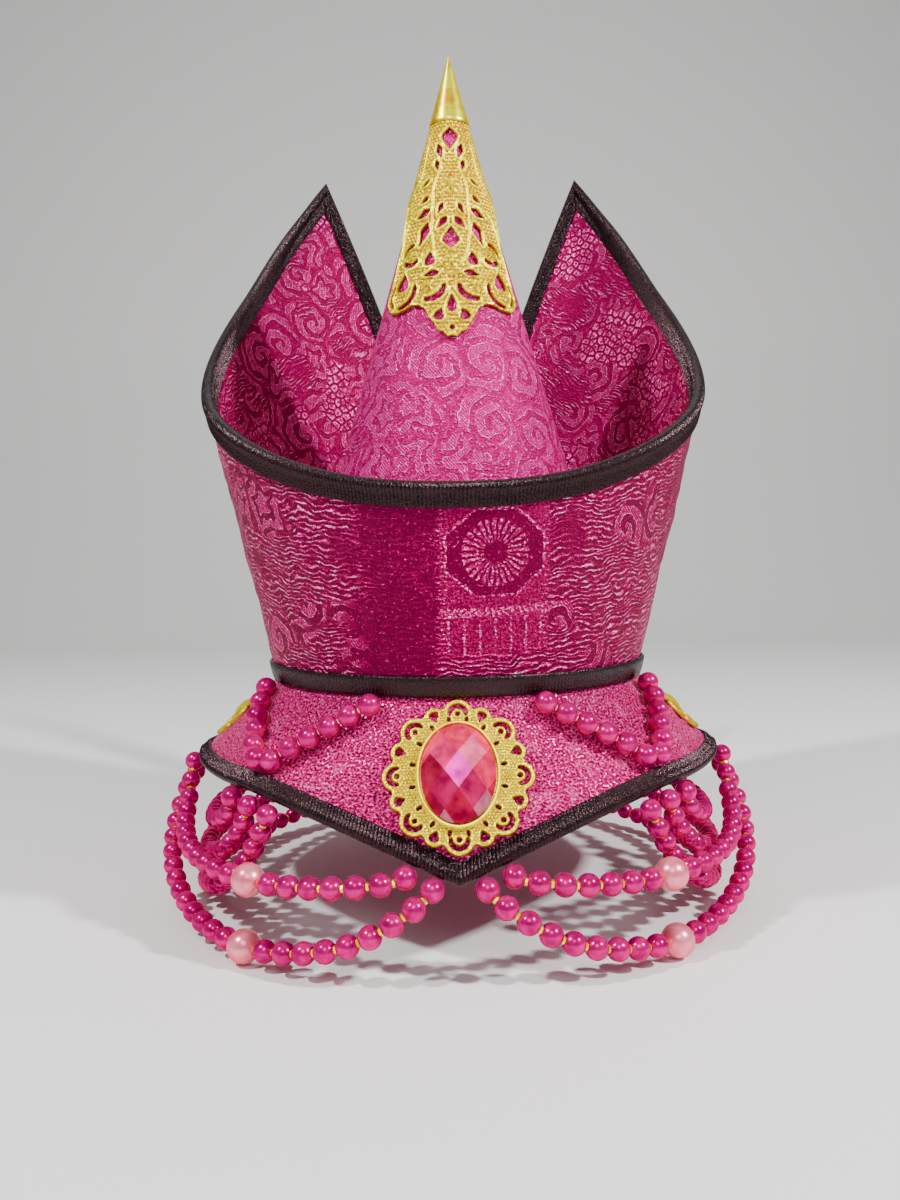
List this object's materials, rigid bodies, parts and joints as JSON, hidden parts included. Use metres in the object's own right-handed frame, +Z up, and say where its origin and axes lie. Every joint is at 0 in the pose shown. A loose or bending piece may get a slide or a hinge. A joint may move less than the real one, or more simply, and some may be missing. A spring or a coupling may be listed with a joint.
{
  "type": "wedding hat",
  "caption": "Tall wedding hat: a hollow brocade cone inside an upturned brim with two high rear points, over a pointed skirt with gilt filigree, an oval brooch and hanging bead strings.",
  "frame": {"origin": "centre of the waist seam, where brim, cone and skirt meet and the hat grips the head", "axes": "+Z up along the cone, -Y to the hat's front, +X to the wearer's left"},
  "size_m": [0.2856, 0.2665, 0.4031],
  "materials": {
    "brocade": "pink jacquard brocade with a silky sheen",
    "ribbon": "black ribbed ribbon",
    "gilt": "bright gold plate, granulated",
    "stone": "faceted, pink-red with a violet sheen",
    "bead": "polished, opaque deep pink with a pearly sheen"
  },
  "bodies": {
    "root": {"crown_cone": "brocade", "cone_filigree": "gilt", "upturned_brim": "brocade", "brim_binding": "ribbon", "crown_band": "ribbon", "skirt": "brocade", "skirt_binding": "ribbon", "brooch_filigree": "gilt", "brooch_stone": "stone", "side_filigree_right": "gilt", "side_filigree_left": "gilt", "upper_string_right": "bead", "upper_string_left": "bead", "front_string_upper_right": "bead", "front_string_upper_left": "bead", "front_string_lower_right": "bead", "front_string_lower_left": "bead", "back_string_lower_right": "bead", "back_string_lower_left": "bead", "back_string_upper_right": "bead", "back_string_upper_left": "bead", "side_string_right": "bead", "side_string_left": "bead"}
  },
  "joints": []
}
